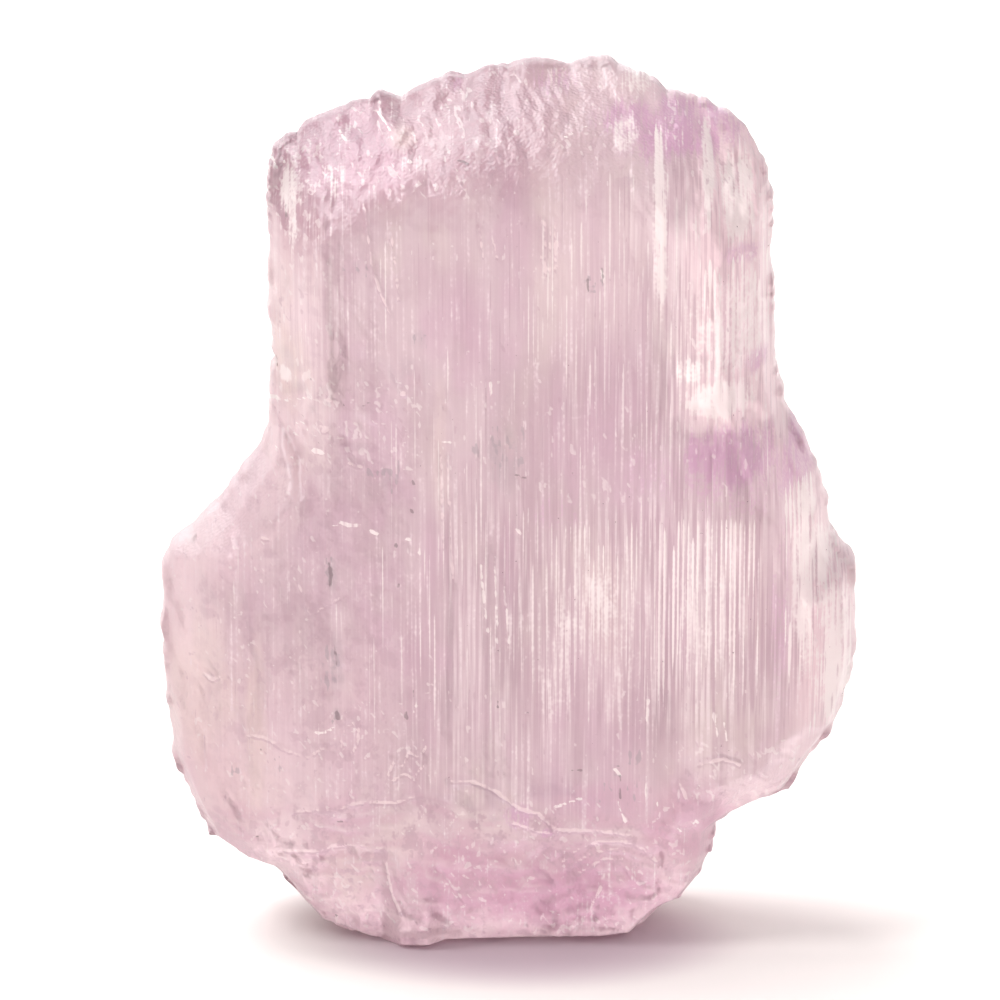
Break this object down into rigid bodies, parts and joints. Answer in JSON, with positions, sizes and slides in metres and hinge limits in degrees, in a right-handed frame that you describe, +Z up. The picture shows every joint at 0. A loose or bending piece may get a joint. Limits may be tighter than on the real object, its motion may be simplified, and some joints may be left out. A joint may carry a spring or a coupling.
{
  "type": "kunzite crystal",
  "caption": "Flattened upright crystal of pink spodumene with grooved faces, lobed shoulders, an etched top and a broken base it stands on.",
  "frame": {"origin": "centre of the bounding box at the bottom, on the plane of the broken base", "axes": "+Z up along the grooves, +Y from the striated front face to the back, +X across the broad face"},
  "size_m": [0.0396, 0.0156, 0.05],
  "materials": {
    "kunzite": "clear pale pink spodumene, glassy on the grooved faces and frosted where it is etched"
  },
  "bodies": {
    "root": {"crystal": "kunzite"}
  },
  "joints": []
}
